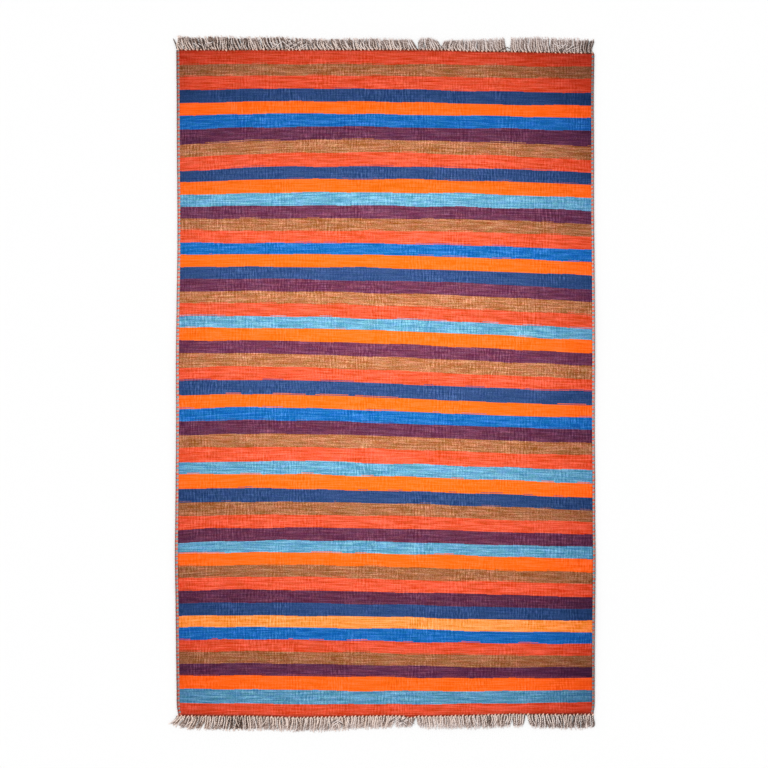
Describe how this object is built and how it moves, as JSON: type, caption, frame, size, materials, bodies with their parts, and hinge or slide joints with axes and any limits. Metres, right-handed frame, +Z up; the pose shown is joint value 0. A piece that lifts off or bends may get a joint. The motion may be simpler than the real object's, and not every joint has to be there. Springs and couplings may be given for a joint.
{
  "type": "qashqai kilim",
  "caption": "Flat-woven wool rug lying flat, striped across its width, with yarn-bound side edges and a knotted fringe along each end.",
  "frame": {"origin": "middle of the whole rug with its fringes, on the floor under the cloth", "axes": "+X across the rug, +Y along its length to the far end, +Z up from the floor"},
  "size_m": [1.2712, 2.0876, 0.0044],
  "materials": {
    "striped_wool": "weft-faced wool in plain stripes of red, orange, brown, plum, navy, royal blue and sky blue",
    "binding_yarn": "red and pale blue wool yarns wound in turn",
    "undyed_wool": "twisted undyed wool, grey cream"
  },
  "bodies": {
    "root": {"woven_cloth": "striped_wool", "left_edge_binding": "binding_yarn", "right_edge_binding": "binding_yarn", "far_end_fringe": "undyed_wool", "near_end_fringe": "undyed_wool"}
  },
  "joints": []
}
